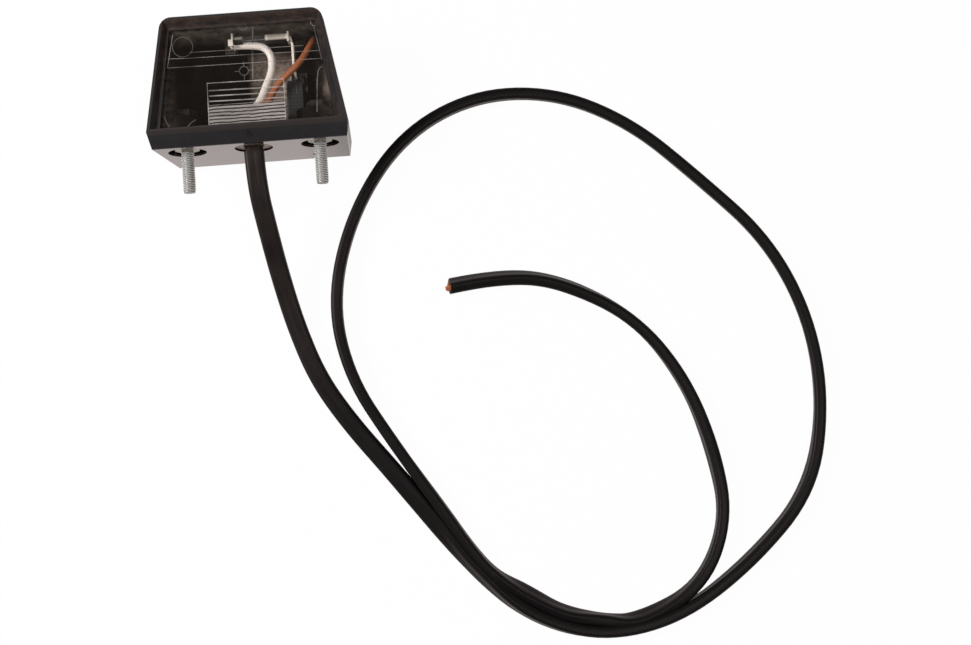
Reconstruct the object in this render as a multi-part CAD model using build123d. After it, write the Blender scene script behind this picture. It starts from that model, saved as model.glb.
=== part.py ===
from build123d import *
import math
import os

# Trailer number-plate lamp on its back: lens up (+Z), mounting face towards -Y.
# Sizes in millimetres. Every piece is drawn with the mounting face at y = 0 and
# the back at z = 0, then moved so that the origin is under the middle of the lamp.

# Housing
lamp_height = 44.0
hood_height = 5.0
parting_z = lamp_height - hood_height  # where the hood meets the base
face_width = 78.0  # mounting face, at the parting height
shoulder_width = 80.0  # widest place, a little behind the mounting face
shoulder_y = 6.0
far_width = 64.0
depth = 52.0
far_radius = 5.0
lean = 2.6  # how far each wall leans in from the parting height to the back
wall = 2.2
floor_thickness = 2.2
back_edge_radius = 1.4
back_edge_steps = 4  # flats that the rounding of the back edge is made of

# Hood
band_land = 1.0  # upright strip at the foot of the sloping near band
rim_edge = 1.2
near_rail = 7.2
side_rail_near = 5.0
side_rail_far = 2.8
far_rail = 4.8
ledge = 1.2
ledge_drop = 2.2
lip_thickness = 0.8
tab_thickness = 1.0
tab_depth = 6.0
tab_length = 12.0
tab_gap = 0.3
side_tab_y = 20.0
seal_width = 1.0
seal_height = 0.8
seal_inset = 0.7
seal_gap = 0.1
arrow_size = 3.0
arrow_hollow = 1.65
arrow_height = 0.3

# Lens
lens_thickness = 1.6
lens_lap = 0.8
lens_gap = 0.2
prism_width = 31.0
prism_gap = 0.3  # between the prism block and the edge of the window
prism_depth = 17.4
prism_height = 2.0
coarse_ribs = 4
fine_ribs = 7
fine_share = 0.5
rib_cut = 0.7
rib_slope_share = 0.85  # of each rib's pitch, the rest is its steep side
band_rib_start = 32.2
band_rib_pitch = 3.0
band_rib_count = 3
band_rib_width = 1.0
band_rib_height = 0.5
band_rib_margin = 1.0

# Studs and their recesses
stud_spacing = 54.0
stud_d = 5.0
stud_neck_d = 4.4  # the plain part behind the thread
stud_reach = 16.5
stud_drop = 9.5  # from the parting height down to the axis of the studs and the cable
stud_z = parting_z - stud_drop
stud_tip_chamfer = 0.6
stud_gap = 0.2
head_flats = 8.0
head_thickness = 3.5
recess_d = 15.4
recess_wall = 1.0
recess_depth = 11.5
recess_floor = 2.0
washer_d = 10.0
washer_thickness = 1.2
washer_set_back = 1.0
plate_side = 8.0
plate_thickness = 1.0
plate_turn = 10.0
post_d = 8.5

# Cable, its grommet and its clamp
cable_width = 7.6
cable_thickness = 4.5
cable_z = stud_z
entry_recess = 1.0
pad_d = 18.0
pad_thickness = 2.4
collar_wall = 1.3
collar_reach = 1.5
grommet_neck_wall = 0.7
grommet_flange = 1.6
grommet_flange_thickness = 1.5
grommet_gap = 0.1
sheath_end_y = 13.5
shelf_width = 26.0
shelf_end_y = 14.0
shelf_thickness = 2.4
gusset_thickness = 2.0
gusset_drop = 9.0
clamp_width = 24.0
clamp_start_y = 6.0
clamp_length = 6.0
clamp_cap = 2.2
clamp_gap = 0.1
clamp_screw_spacing = 17.0
clamp_screw_bite = 2.0
core_d = 2.6
core_spacing = 3.4
core_end_length = 2.0
strand_d = 1.2
strand_length = 1.2

# Pan-head screws of the cable clamp and the bulb carrier
screw_d = 3.0
screw_head_d = 5.4
screw_head = 1.8
screw_head_round = 0.7
screw_gap = 0.05
cross_length = 3.2
cross_width = 0.75
cross_depth = 0.8

# Bulb and its contacts
bulb_set_in = 6.8  # from the far face in to the bulb's axis
bulb_y = depth - bulb_set_in
bulb_drop = 1.5  # from the cable's axis down to the bulb's
bulb_z = cable_z - bulb_drop
bulb_left_x = -5.8
bulb_glass_length = 9.2
bulb_glass_d = 3.8
bulb_glass_wall = 0.5
left_cap_length = 3.7
right_cap_length = 9.2
cap_d = 3.8
cap_tip_radius = 0.7
filament_d = 0.4
contact_thickness = 0.7
left_contact_depth = 5.5
contact_top = 2.4  # above the bulb's axis
contact_fold_length = 1.2
left_foot_drop = 9.0  # from the bulb's axis down to the foot
left_foot_z = bulb_z - left_foot_drop
left_foot_length = 4.6
right_arm_drop = 12.0  # from the bulb's axis down to the arm's lower edge
right_arm_z = bulb_z - right_arm_drop
right_arm_height = 7.0
right_tip_length = 4.0
right_tab_depth = 5.0
rivet_d = 2.0
rivet_head_d = 3.4
rivet_head = 0.8
rivet_head_round = 0.4
rivet_bite = 3.0
terminal_set_in = 9.6  # from the corner of the far face in to the terminal's rivet
terminal_x = far_width / 2 - terminal_set_in
terminal_set_back = 0.6  # from the bulb's axis towards the mounting face
terminal_y = bulb_y - terminal_set_back
terminal_d = 6.0
terminal_thickness = 0.8
barrel_ahead = 4.2  # from the rivet to the barrel, along the far face
barrel_aside = 1.0  # and towards it
barrel_x = terminal_x + barrel_ahead
barrel_y = terminal_y + barrel_aside
barrel_d = 3.4
barrel_length = 4.0
pillar_side = 5.0

# Bulb carrier
carrier_x = 17.2
carrier_width = 6.6
carrier_length = 16.6
carrier_near_y = 12.0
carrier_far_y = carrier_near_y + carrier_length
carrier_drop = 5.0  # from the bulb's axis down to the carrier's top
carrier_top = bulb_z - carrier_drop
carrier_chamfer = 1.6
carrier_slot_depth = 6.0
carrier_slot_gap = 0.1
carrier_foot_length = 8.0
carrier_foot = 2.4
carrier_grooves = 5
carrier_groove_width = 1.0
carrier_groove_depth = 0.5
carrier_screw_bite = 1.4
arm_offset = 0.8  # from the carrier's middle to the right contact's arm

# Moulding marks
gate_mark_d = 3.0
gate_mark_depth = 0.3
gate_mark_x = 23.0
gate_mark_z = 10.0

cut_over = 1.0  # how far a cutting body runs past the face that it cuts
same_place = 0.01  # edges nearer than this to a plane lie on it

# Where the pieces go in the row's own frame
face_y = (stud_reach - depth) / 2
# The free cable is drawn round, with the mean of the flat cable's two sizes.
cord_d = math.sqrt(cable_width * cable_thickness)
cord_exit_y = face_y - collar_reach

# The free cable's route in the row's frame, from the lamp to the cut end. It leaves the
# lamp level, drops to the floor, makes one large turn and comes back inside it.
route = [
    (0, cord_exit_y, cable_z),
    (0, -33, 29.5),
    (1.5, -50, 22.5),
    (5, -69, 11.5),
    (9.5, -90, 5),
    (17, -112, 3),
    (29.5, -132, 3.1),
    (45, -152, 3),
    (60, -174, 3),
    (75.5, -197.5, 3),
    (98, -217, 3),
    (128, -228.5, 3),
    (161, -223, 3),
    (192, -201.5, 3),
    (217, -173, 3),
    (228.5, -138, 3),
    (225.5, -101, 3),
    (209, -67, 3),
    (184, -39, 3),
    (157, -13, 3),
    (125, 3, 3),
    (90, 3, 3),
    (60, -14, 3),
    (38, -44, 3),
    (25.5, -79, 3),
    (29.5, -112, 3),
    (47.5, -142, 3),
    (67, -171.5, 3),
    (85.5, -196.5, 3),
    (112, -215.5, 3),
    (142.5, -220.5, 3),
    (169, -208.5, 3),
    (183, -183, 3),
    (181.5, -154, 3),
    (172, -124, 3),
    (152, -97, 3),
    (122, -79, 3),
    (97, -74.5, 3),
    (75.5, -77.3, 3),
]

# The two inner wires, from the end of the sheath to the contacts. Each point is a share of
# the wire's swing to the right, of its way to the far end, and of its drop.
wire_straight = 2.0  # length that leaves the sheath level
white_swing = 9.2
white_drop = 6.1
white_shares = [
    (0.11, 0.19, 0.18),
    (0.5, 0.363, 0.475),
    (0.85, 0.552, 0.705),
    (1.0, 0.741, 0.836),
    (0.76, 0.899, 0.902),
    (0.163, 0.95, 0.967),
    (-0.27, 0.959, 1.0),
]
brown_drop = 4.5
brown_shares = [
    (0.21, 0.196, 0.29),
    (0.368, 0.364, 0.6),
    (0.534, 0.514, 0.778),
    (0.722, 0.657, 0.867),
    (0.88, 0.813, 0.956),
    (1.0, 1.0, 1.0),
]


def line_at(y, start, end):
    """Half-width at depth y on the straight edge from start (y, x) to end (y, x)."""
    share = (y - start[0]) / (end[0] - start[0])
    return start[1] + (end[1] - start[1]) * share


def lean_at(z):
    return lean * max(0.0, 1 - z / parting_z)


def outline(z, inset=0.0):
    """The housing's plan at height z, moved in by inset on every side, drawn flat at zero."""
    shrink = lean_at(z)
    half_face = face_width / 2 - shrink
    half_shoulder = shoulder_width / 2 - shrink
    half_far = far_width / 2 - shrink
    back = depth - shrink
    corners = [
        (-half_face, 0),
        (half_face, 0),
        (half_shoulder, shoulder_y),
        (half_far, back),
        (-half_far, back),
        (-half_shoulder, shoulder_y),
    ]
    plan = make_face(Polyline(*corners, close=True))
    plan = fillet([v for v in plan.vertices() if v.Y > back - same_place], far_radius)
    return offset(plan, -inset) if inset else plan


def tub(levels):
    """The solid through the housing's leaning outline at each (height, inset)."""
    sections = [Pos(0, 0, z) * outline(z, inset) for z, inset in levels]
    return Solid.make_loft([section.wire() for section in sections], True)


def outer_levels():
    """The levels of the housing's outside, with its back edge rounded."""
    levels = []
    for i in range(back_edge_steps + 1):
        angle = math.radians(90 * i / back_edge_steps)
        z = back_edge_radius * (1 - math.cos(angle))
        levels.append((z, back_edge_radius * (1 - math.sin(angle))))
    return levels + [(parting_z, 0.0)]


def window(grow=0.0, near=0.0):
    """The lens window's plan, larger by grow at the sides and far end and by near at the front."""
    near_y = near_rail - near
    far_y = window_far[0] + grow
    half_near = line_at(near_y, window_near, window_far) + grow
    half_far = line_at(far_y, window_near, window_far) + grow
    corners = [(-half_near, near_y), (half_near, near_y), (half_far, far_y), (-half_far, far_y)]
    return make_face(Polyline(*corners, close=True))


def slab(plan, low, high):
    return extrude(Pos(0, 0, low) * plan, high - low)


def rod_y(x, z, radius, start, end):
    """A round bar along Y from start to end."""
    turn = Plane((x, start, z), x_dir=(1, 0, 0), z_dir=(0, 1, 0))
    return extrude(turn * Circle(radius), end - start)


def rod_x(y, z, radius, start, end):
    turn = Plane((start, y, z), x_dir=(0, 1, 0), z_dir=(1, 0, 0))
    return extrude(turn * Circle(radius), end - start)


def rod_z(x, y, radius, low, high):
    return extrude(Pos(x, y, low) * Circle(radius), high - low)


def oval_y(width, height, start, end):
    """A flat-sided oval bar along Y on the cable's axis."""
    turn = Plane((0, start, cable_z), x_dir=(1, 0, 0), z_dir=(0, 1, 0))
    return extrude(turn * SlotOverall(width, height), end - start)


def block(x, y, z):
    """A box from three (low, high) pairs."""
    size = (x[1] - x[0], y[1] - y[0], z[1] - z[0])
    middle = Pos((x[0] + x[1]) / 2, (y[0] + y[1]) / 2, (z[0] + z[1]) / 2)
    return middle * Box(*size)


# Corners of the lens window and of the rim, as (depth, half-width)
window_near = (near_rail, shoulder_width / 2 - side_rail_near)
window_far = (depth - far_rail, far_width / 2 - side_rail_far)
rim_near = (shoulder_y, shoulder_width / 2)
rim_far = (depth, far_width / 2)

stud_xs = [-stud_spacing / 2, stud_spacing / 2]
screw_xs = [-clamp_screw_spacing / 2, clamp_screw_spacing / 2]
ledge_z = lamp_height - ledge_drop
lens_top = ledge_z - lip_thickness
lens_bottom = lens_top - lens_thickness
washer_back = washer_set_back + washer_thickness
plate_back = washer_back + plate_thickness
head_start = recess_depth + recess_floor
shelf_top = cable_z - cable_thickness / 2 - clamp_gap
clamp_top = cable_z + cable_thickness / 2 + clamp_gap + clamp_cap
clamp_mid_y = clamp_start_y + clamp_length / 2
bulb_glass_x = bulb_left_x + left_cap_length
right_cap_x = bulb_glass_x + bulb_glass_length
bulb_right_x = right_cap_x + right_cap_length
inner_face_y = entry_recess + pad_thickness  # where the pad round the cable ends inside
pillar_x = bulb_left_x - contact_thickness - left_foot_length / 2
carrier_screw_y = carrier_far_y + carrier_foot_length / 2
arm_x = carrier_x + arm_offset


def cable_shelf():
    """The moulded shelf that the cable clamp is screwed to, with its two gussets."""
    half = shelf_width / 2
    under = shelf_top - shelf_thickness
    shelf = block((-half, half), (wall / 2, shelf_end_y), (under, shelf_top))
    for x in (-half, half - gusset_thickness):
        corners = [(wall / 2, under), (shelf_end_y, under), (wall / 2, under - gusset_drop)]
        plane = Plane((x, 0, 0), x_dir=(0, 1, 0), z_dir=(1, 0, 0))
        shelf += extrude(plane * make_face(Polyline(*corners, close=True)), gusset_thickness)
    for x in screw_xs:
        low = shelf_top - clamp_screw_bite
        shelf -= rod_z(x, clamp_mid_y, screw_d / 2 + screw_gap, low, shelf_top)
    return shelf


def stud_pot(x):
    """A recess cup behind the mounting face with the post that the stud runs through."""
    return rod_y(x, stud_z, recess_d / 2 + recess_wall, 0, head_start)


def stud_hollow(x):
    cup = rod_y(x, stud_z, recess_d / 2, 0, recess_depth)
    cup -= rod_y(x, stud_z, post_d / 2, plate_back, recess_depth)
    return cup + rod_y(x, stud_z, stud_neck_d / 2 + stud_gap, 0, head_start)


def contact_pillar():
    """The post against the far wall that the left contact's foot is riveted to."""
    half = pillar_side / 2
    wall_y = depth - lean_at(floor_thickness) - wall / 2
    x = (pillar_x - half, pillar_x + half)
    post = block(x, (bulb_y - half, wall_y), (floor_thickness / 2, left_foot_z))
    low = left_foot_z - rivet_bite
    return post - rod_z(pillar_x, bulb_y, rivet_d / 2 + screw_gap, low, left_foot_z)


def terminal_post():
    """The post in the far right corner that carries the ring terminal."""
    top = right_arm_z
    post = rod_z(terminal_x, terminal_y, pillar_side / 2, floor_thickness / 2, top)
    return post - rod_z(terminal_x, terminal_y, rivet_d / 2 + screw_gap, top - rivet_bite, top)


def base_housing():
    shell = tub(outer_levels())
    shell -= tub([(floor_thickness, wall), (parting_z, wall)])
    shell += rod_y(0, cable_z, pad_d / 2, wall / 2, inner_face_y)
    for x in stud_xs:
        shell += stud_pot(x)
    shell += cable_shelf() + contact_pillar() + terminal_post()
    for x in stud_xs:
        shell -= stud_hollow(x)
    shell -= rod_y(0, cable_z, recess_d / 2, 0, entry_recess)
    neck = 2 * (grommet_neck_wall + grommet_gap)
    shell -= oval_y(cable_width + neck, cable_thickness + neck, 0, inner_face_y)
    flange = 2 * (grommet_flange + grommet_gap)
    room = inner_face_y + grommet_flange_thickness + grommet_gap
    shell -= oval_y(cable_width + flange, cable_thickness + flange, inner_face_y, room)
    shell -= rod_y(gate_mark_x, gate_mark_z, gate_mark_d / 2, 0, gate_mark_depth)
    low = floor_thickness - carrier_screw_bite
    shell -= rod_z(carrier_x, carrier_screw_y, screw_d / 2 + screw_gap, low, floor_thickness)
    return shell


def hood_frame():
    body = slab(outline(parting_z), parting_z, lamp_height)
    body -= band_cut()
    body -= tray()
    body -= slab(window(), parting_z - cut_over, lamp_height)
    pocket = window(lens_lap + lens_gap, lens_lap + lens_gap)
    body -= slab(pocket, parting_z - cut_over, lens_top)
    body -= slab(seal_plan(seal_gap), parting_z, parting_z + seal_height + seal_gap)
    for tab in hood_tabs():
        body += tab
    return body + latch_arrow()


def band_cut():
    """What the sloping near band leaves off above the upright strip at its foot."""
    foot = parting_z + band_land
    slope = (lamp_height - foot) / shoulder_y
    above = lamp_height + cut_over
    corners = [
        (-cut_over, foot - slope * cut_over),
        (shoulder_y, lamp_height),
        (shoulder_y, above),
        (-cut_over, above),
    ]
    plane = Plane((-shoulder_width, 0, 0), x_dir=(0, 1, 0), z_dir=(1, 0, 0))
    return extrude(plane * make_face(Polyline(*corners, close=True)), 2 * shoulder_width)


def tray():
    """The funnel between the rim's top edge and the ledge round the lens."""
    rim_y = depth - rim_edge
    low_near = window_near[1] + ledge
    low_far = window_far[1] + ledge
    high_near = line_at(near_rail, rim_near, rim_far) - rim_edge
    high_far = line_at(rim_y, rim_near, rim_far) - rim_edge
    sections = []
    for z, near_x, far_x, far_y in (
        (ledge_z, low_near, low_far, window_far[0] + ledge),
        (lamp_height, high_near, high_far, rim_y),
    ):
        corners = [(-near_x, near_rail), (near_x, near_rail), (far_x, far_y), (-far_x, far_y)]
        sections.append(Pos(0, 0, z) * make_face(Polyline(*corners, close=True)))
    return Solid.make_loft([section.wire() for section in sections], True)


def seal_plan(grow):
    outer = outline(parting_z, seal_inset - grow)
    return outer - outline(parting_z, seal_inset + seal_width + grow)


def hood_tabs():
    """Three tabs that drop inside the base's leaning walls and centre the hood."""
    low = parting_z - tab_depth
    outside = wall + tab_gap
    ring = tub([(low, outside), (parting_z, outside)])
    inside = outside + tab_thickness
    ring -= tub([(low, inside), (parting_z, inside)])
    half = tab_length / 2
    heights = (low, parting_z)
    along = (side_tab_y - half, side_tab_y + half)
    far = block((-half, half), (depth - far_rail, depth), heights)
    right = block((0, shoulder_width), along, heights)
    left = block((-shoulder_width, 0), along, heights)
    return [ring & far, ring & right, ring & left]


def latch_arrow():
    """The small raised triangle that marks where the hood is prised off."""
    rise = lamp_height - parting_z - band_land
    angle = math.atan2(rise, shoulder_y)
    middle = (0, shoulder_y / 2, parting_z + band_land + rise / 2)
    normal = (0, -math.sin(angle), math.cos(angle))
    plane = Plane(middle, x_dir=(1, 0, 0), z_dir=normal)
    mark = Triangle(a=arrow_size, b=arrow_size, c=arrow_size)
    mark -= Triangle(a=arrow_hollow, b=arrow_hollow, c=arrow_hollow)
    return extrude(plane.offset(-arrow_height) * mark, 2 * arrow_height)


def lens_ribs():
    """The prism block under the lens: coarse ribs at the far half, fine ribs at the near half."""
    near_y = near_rail + prism_gap
    top = lens_bottom
    points = [(near_y, top), (near_y, top - prism_height)]
    fine_pitch = prism_depth * fine_share / fine_ribs
    coarse_pitch = prism_depth * (1 - fine_share) / coarse_ribs
    y = near_y
    for pitch in [fine_pitch] * fine_ribs + [coarse_pitch] * coarse_ribs:
        points.append((y + pitch * rib_slope_share, top - prism_height + rib_cut))
        y += pitch
        points.append((y, top - prism_height))
    points.append((y, top))
    plane = Plane((-prism_width / 2, 0, 0), x_dir=(0, 1, 0), z_dir=(1, 0, 0))
    return extrude(plane * make_face(Polyline(*points, close=True)), prism_width)


def lens():
    plate = slab(window(lens_lap, lens_lap), lens_bottom, lens_top)
    plate += lens_ribs()
    for i in range(band_rib_count):
        y = band_rib_start + i * band_rib_pitch
        half = line_at(y + band_rib_width, window_near, window_far) - band_rib_margin
        low = lens_bottom - band_rib_height
        plate += block((-half, half), (y, y + band_rib_width), (low, lens_bottom))
    return plate


def cover_seal():
    return slab(seal_plan(0), parting_z, parting_z + seal_height)


def stud_bolt(x):
    shank = rod_y(x, stud_z, stud_d / 2, -stud_reach, washer_set_back)
    tip = [e for e in shank.edges() if e.bounding_box().max.Y < -stud_reach + same_place]
    shank = chamfer(tip, stud_tip_chamfer)
    shank += rod_y(x, stud_z, stud_neck_d / 2, washer_set_back, head_start)
    turn = Plane((x, head_start, stud_z), x_dir=(1, 0, 0), z_dir=(0, 1, 0))
    head = extrude(turn * RegularPolygon(head_flats / 2, 6, major_radius=False), head_thickness)
    return shank + head


def stud_washer(x):
    ring = rod_y(x, stud_z, washer_d / 2, washer_set_back, washer_back)
    return ring - rod_y(x, stud_z, stud_neck_d / 2, washer_set_back, washer_back)


def stud_plate(x):
    turn = Plane((x, washer_back, stud_z), x_dir=(1, 0, 0), z_dir=(0, 1, 0))
    square = turn * Rot(0, 0, plate_turn) * Rectangle(plate_side, plate_side)
    sheet = extrude(square, plate_thickness)
    return sheet - rod_y(x, stud_z, stud_neck_d / 2, washer_back, plate_back)


def sheath_ring(ring_wall, start, end):
    """A bar along the cable whose outside stands ring_wall off the sheath."""
    return oval_y(cable_width + 2 * ring_wall, cable_thickness + 2 * ring_wall, start, end)


def cable_grommet():
    """The rubber bush round the cable: a collar outside, a neck, and a flange inside."""
    flange_end = inner_face_y + grommet_flange_thickness
    bush = sheath_ring(collar_wall, -collar_reach, entry_recess)
    bush += sheath_ring(grommet_neck_wall, entry_recess, inner_face_y)
    bush += sheath_ring(grommet_flange, inner_face_y, flange_end)
    return bush - oval_y(cable_width, cable_thickness, -collar_reach, flange_end)


def cable_entry():
    """The last of the flat cable, held in the grommet and under the clamp."""
    return oval_y(cable_width, cable_thickness, -collar_reach, sheath_end_y)


def cable_clamp():
    half = clamp_width / 2
    along = (clamp_start_y, clamp_start_y + clamp_length)
    bridge = block((-half, half), along, (shelf_top, clamp_top))
    slot = cable_width / 2 + clamp_gap
    bridge -= block((-slot, slot), along, (shelf_top, clamp_top - clamp_cap))
    for x in screw_xs:
        bridge -= rod_z(x, clamp_mid_y, screw_d / 2 + screw_gap, shelf_top, clamp_top)
    return bridge


def round_top(cap, high, radius):
    """The same upright cap with the edges of its top, at the height high, rounded."""
    top = [e for e in cap.edges() if e.bounding_box().min.Z > high - same_place]
    return fillet(top, radius)


def pan_screw(x, y, head_z, length):
    """A pan-head screw whose head sits at the height head_z."""
    high = head_z + screw_head
    cap = round_top(rod_z(x, y, screw_head_d / 2, head_z, high), high, screw_head_round)
    for turn in (0, 90):
        slot = Box(cross_length, cross_width, 2 * cross_depth)
        cap -= Pos(x, y, high) * Rot(0, 0, turn) * slot
    return cap + rod_z(x, y, screw_d / 2, head_z - length, head_z)


def clamp_screws():
    length = clamp_top - shelf_top + clamp_screw_bite
    return [pan_screw(x, clamp_mid_y, clamp_top, length) for x in screw_xs]


def bulb_carrier():
    """The upright block that the right contact's arm is pushed into."""
    left = carrier_x - carrier_width / 2
    right = carrier_x + carrier_width / 2
    foot_end = carrier_far_y + carrier_foot_length
    foot_top = floor_thickness + carrier_foot
    corners = [
        (left, carrier_near_y),
        (right, carrier_near_y),
        (right, carrier_far_y - carrier_chamfer),
        (right - carrier_chamfer, carrier_far_y),
        (left, carrier_far_y),
    ]
    body = slab(make_face(Polyline(*corners, close=True)), floor_thickness, carrier_top)
    body += block((left, right), (carrier_near_y, foot_end), (floor_thickness, foot_top))
    slot = contact_thickness / 2 + carrier_slot_gap
    slot_y = (carrier_far_y - carrier_slot_depth, carrier_far_y + cut_over)
    body -= block((arm_x - slot, arm_x + slot), slot_y, (right_arm_z, carrier_top))
    pitch = (carrier_far_y - carrier_near_y) / carrier_grooves
    groove_z = (carrier_top - carrier_groove_depth, carrier_top)
    for i in range(carrier_grooves):
        y = carrier_near_y + (i + 0.5) * pitch
        body -= block((left, left + carrier_groove_width), (y, y + carrier_groove_width), groove_z)
    hole = screw_d / 2 + screw_gap
    return body - rod_z(carrier_x, carrier_screw_y, hole, floor_thickness, foot_top)


def carrier_screw():
    head_z = floor_thickness + carrier_foot
    return pan_screw(carrier_x, carrier_screw_y, head_z, carrier_foot + carrier_screw_bite)


def left_contact():
    """An upright strip on a foot; the bulb's short cap rests against it."""
    right = bulb_left_x
    left = right - contact_thickness
    along = (bulb_y - left_contact_depth / 2, bulb_y + left_contact_depth / 2)
    strip = block((left, right), along, (left_foot_z, bulb_z + contact_top))
    foot_top = left_foot_z + contact_thickness
    strip += block((left - left_foot_length, right), along, (left_foot_z, foot_top))
    hole = rivet_d / 2 + screw_gap
    strip -= rod_z(pillar_x, bulb_y, hole, left_foot_z, foot_top)
    high = bulb_z + contact_top
    fold_z = (high, high + contact_thickness)
    return strip + block((left - contact_fold_length, right), (along[0], bulb_y), fold_z)


def right_contact():
    """A strip on edge from the carrier to the bulb, with a flat tab out to the terminal."""
    half = contact_thickness / 2
    bend_y = bulb_y - right_tip_length / 2
    start = carrier_far_y - carrier_slot_depth
    arm_z = (right_arm_z, right_arm_z + right_arm_height)
    strip = block((arm_x - half, arm_x + half), (start, bend_y + half), arm_z)
    tip_x = (bulb_right_x, bulb_right_x + contact_thickness)
    tip_y = (bend_y, bulb_y + right_tip_length / 2)
    strip += block(tip_x, tip_y, (right_arm_z, bulb_z + contact_top))
    strip += block((bulb_right_x, arm_x + half), (bend_y, bend_y + contact_thickness), arm_z)
    tab_r = right_tab_depth / 2
    tab_z = (right_arm_z, right_arm_z + contact_thickness)
    tab_y = (terminal_y - tab_r, terminal_y + tab_r)
    strip += block((arm_x - half, terminal_x), tab_y, tab_z)
    strip += rod_z(terminal_x, terminal_y, tab_r, *tab_z)
    return strip - rod_z(terminal_x, terminal_y, rivet_d / 2 + screw_gap, *tab_z)


def rivet(x, y, head_z):
    shank = rod_z(x, y, rivet_d / 2, head_z - rivet_bite, head_z)
    high = head_z + rivet_head
    head = rod_z(x, y, rivet_head_d / 2, head_z, high)
    return shank + round_top(head, high, rivet_head_round)


def contact_rivets():
    left = rivet(pillar_x, bulb_y, left_foot_z + contact_thickness)
    right = rivet(terminal_x, terminal_y, right_arm_z + contact_thickness + terminal_thickness)
    return [left, right]


def ring_terminal():
    """The crimped ring on the brown wire, riveted down with the contact's tab."""
    low = right_arm_z + contact_thickness
    high = low + terminal_thickness
    ring = rod_z(terminal_x, terminal_y, terminal_d / 2, low, high)
    neck_y = (terminal_y, terminal_y + barrel_d / 2)
    ring += block((terminal_x, barrel_x), neck_y, (low, high))
    ring += rod_z(barrel_x, barrel_y, barrel_d / 2, low, low + barrel_length)
    return ring - rod_z(terminal_x, terminal_y, rivet_d / 2 + screw_gap, low, high)


def bulb_glass():
    tube = rod_x(bulb_y, bulb_z, bulb_glass_d / 2, bulb_glass_x, right_cap_x)
    bore = bulb_glass_d / 2 - bulb_glass_wall
    return tube - rod_x(bulb_y, bulb_z, bore, bulb_glass_x, right_cap_x)


def bulb_caps():
    """The bulb's two metal caps, rounded at their outer ends."""
    caps = []
    for start, end in ((bulb_left_x, bulb_glass_x), (right_cap_x, bulb_right_x)):
        cap = rod_x(bulb_y, bulb_z, cap_d / 2, start, end)
        tips = [e for e in cap.edges() if abs(e.center().X - bulb_left_x) < same_place]
        tips += [e for e in cap.edges() if abs(e.center().X - bulb_right_x) < same_place]
        caps.append(fillet(tips, cap_tip_radius))
    return caps


def bulb_filament():
    return rod_x(bulb_y, bulb_z, filament_d / 2, bulb_glass_x, right_cap_x)


def bend_radii(points):
    """The largest even bend at each corner: 0.45 of the shorter run over tan(half turn)."""
    radii = []
    turns = []
    for before, here, after in zip(points, points[1:], points[2:]):
        run_in = Vector(*here) - Vector(*before)
        run_out = Vector(*after) - Vector(*here)
        turn = math.radians(run_in.get_angle(run_out))
        shorter = min(run_in.length, run_out.length)
        radii.append(0.45 * shorter / math.tan(turn / 2))
        turns.append(math.degrees(turn))
    return radii, turns


def wire_way(side, swing, ahead, drop, shares):
    """A wire's points: level out of the sheath at x = side, then by shares."""
    points = [(side, sheath_end_y, cable_z), (side, sheath_end_y + wire_straight, cable_z)]
    for x, y, z in shares:
        points.append((swing * x, sheath_end_y + ahead * y, cable_z - drop * z))
    return points


def white_wire():
    ahead = bulb_y - sheath_end_y
    points = wire_way(-core_spacing / 2, white_swing, ahead, white_drop, white_shares)
    return tube("white wire", points + [(bulb_left_x, *points[-1][1:])], core_d)


def brown_wire():
    ahead = barrel_y - sheath_end_y
    points = wire_way(core_spacing / 2, barrel_x, ahead, brown_drop, brown_shares)
    barrel_top = right_arm_z + contact_thickness + barrel_length
    return tube("brown wire", points + [(barrel_x, barrel_y, barrel_top)], core_d)


def tube(name, points, diameter):
    """A round tube along straight runs and tangent arcs, with its bends and volume printed."""
    radii, turns = bend_radii(points)
    path = FilletPolyline(*points, radius=radii)
    start = Plane(origin=path @ 0, z_dir=path % 0)
    solid = sweep(start * Circle(diameter / 2), path=path)
    expected = math.pi * diameter**2 / 4 * path.length
    print(name, "length", round(path.length, 1), "tightest radius", round(min(radii), 1))
    print("  radii", [round(r) for r in radii], "largest turn", round(max(turns)))
    print("  volume", round(solid.volume, 1), "expected", round(expected, 1))
    return solid


def cord_end():
    """The cut end of the free cable: its place and its direction, in the row's frame."""
    last = Vector(*route[-1])
    return last, (last - Vector(*route[-2])).normalized()


def cut_end(diameter, start, length):
    """Two round cores side by side on the cut end of the cable."""
    place, ahead = cord_end()
    side = ahead.cross(Vector(0, 0, 1)).normalized()
    cores = []
    for offset_side in (-core_d / 2, core_d / 2):
        plane = Plane(place + ahead * start + side * offset_side, z_dir=ahead)
        cores.append(extrude(plane * Circle(diameter / 2), length))
    return cores


def seat(piece):
    """Move a lamp piece from the mounting-face frame to the row's frame."""
    return Pos(0, face_y, 0) * piece


def save(name, pieces):
    os.makedirs("parts", exist_ok=True)
    if not isinstance(pieces, list):
        pieces = [pieces]
    solids = [solid for piece in pieces for solid in piece.solids()]
    shape = solids[0] if len(solids) == 1 else Compound(children=solids)
    export_step(shape, f"parts/{name}.step")


lamp = {
    "base_housing": base_housing(),
    "hood_frame": hood_frame(),
    "lens": lens(),
    "cover_seal": cover_seal(),
    "stud_bolts": [stud_bolt(x) for x in stud_xs],
    "stud_washers": [stud_washer(x) for x in stud_xs],
    "stud_plates": [stud_plate(x) for x in stud_xs],
    "cable_grommet": cable_grommet(),
    "cable_entry": cable_entry(),
    "cable_clamp": cable_clamp(),
    "clamp_screws": clamp_screws(),
    "bulb_carrier": bulb_carrier(),
    "carrier_screw": carrier_screw(),
    "left_contact": left_contact(),
    "right_contact": right_contact(),
    "contact_rivets": contact_rivets(),
    "ring_terminal": ring_terminal(),
    "bulb_glass": bulb_glass(),
    "bulb_caps": bulb_caps(),
    "bulb_filament": bulb_filament(),
    "white_wire": white_wire(),
    "brown_wire": brown_wire(),
}

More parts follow.
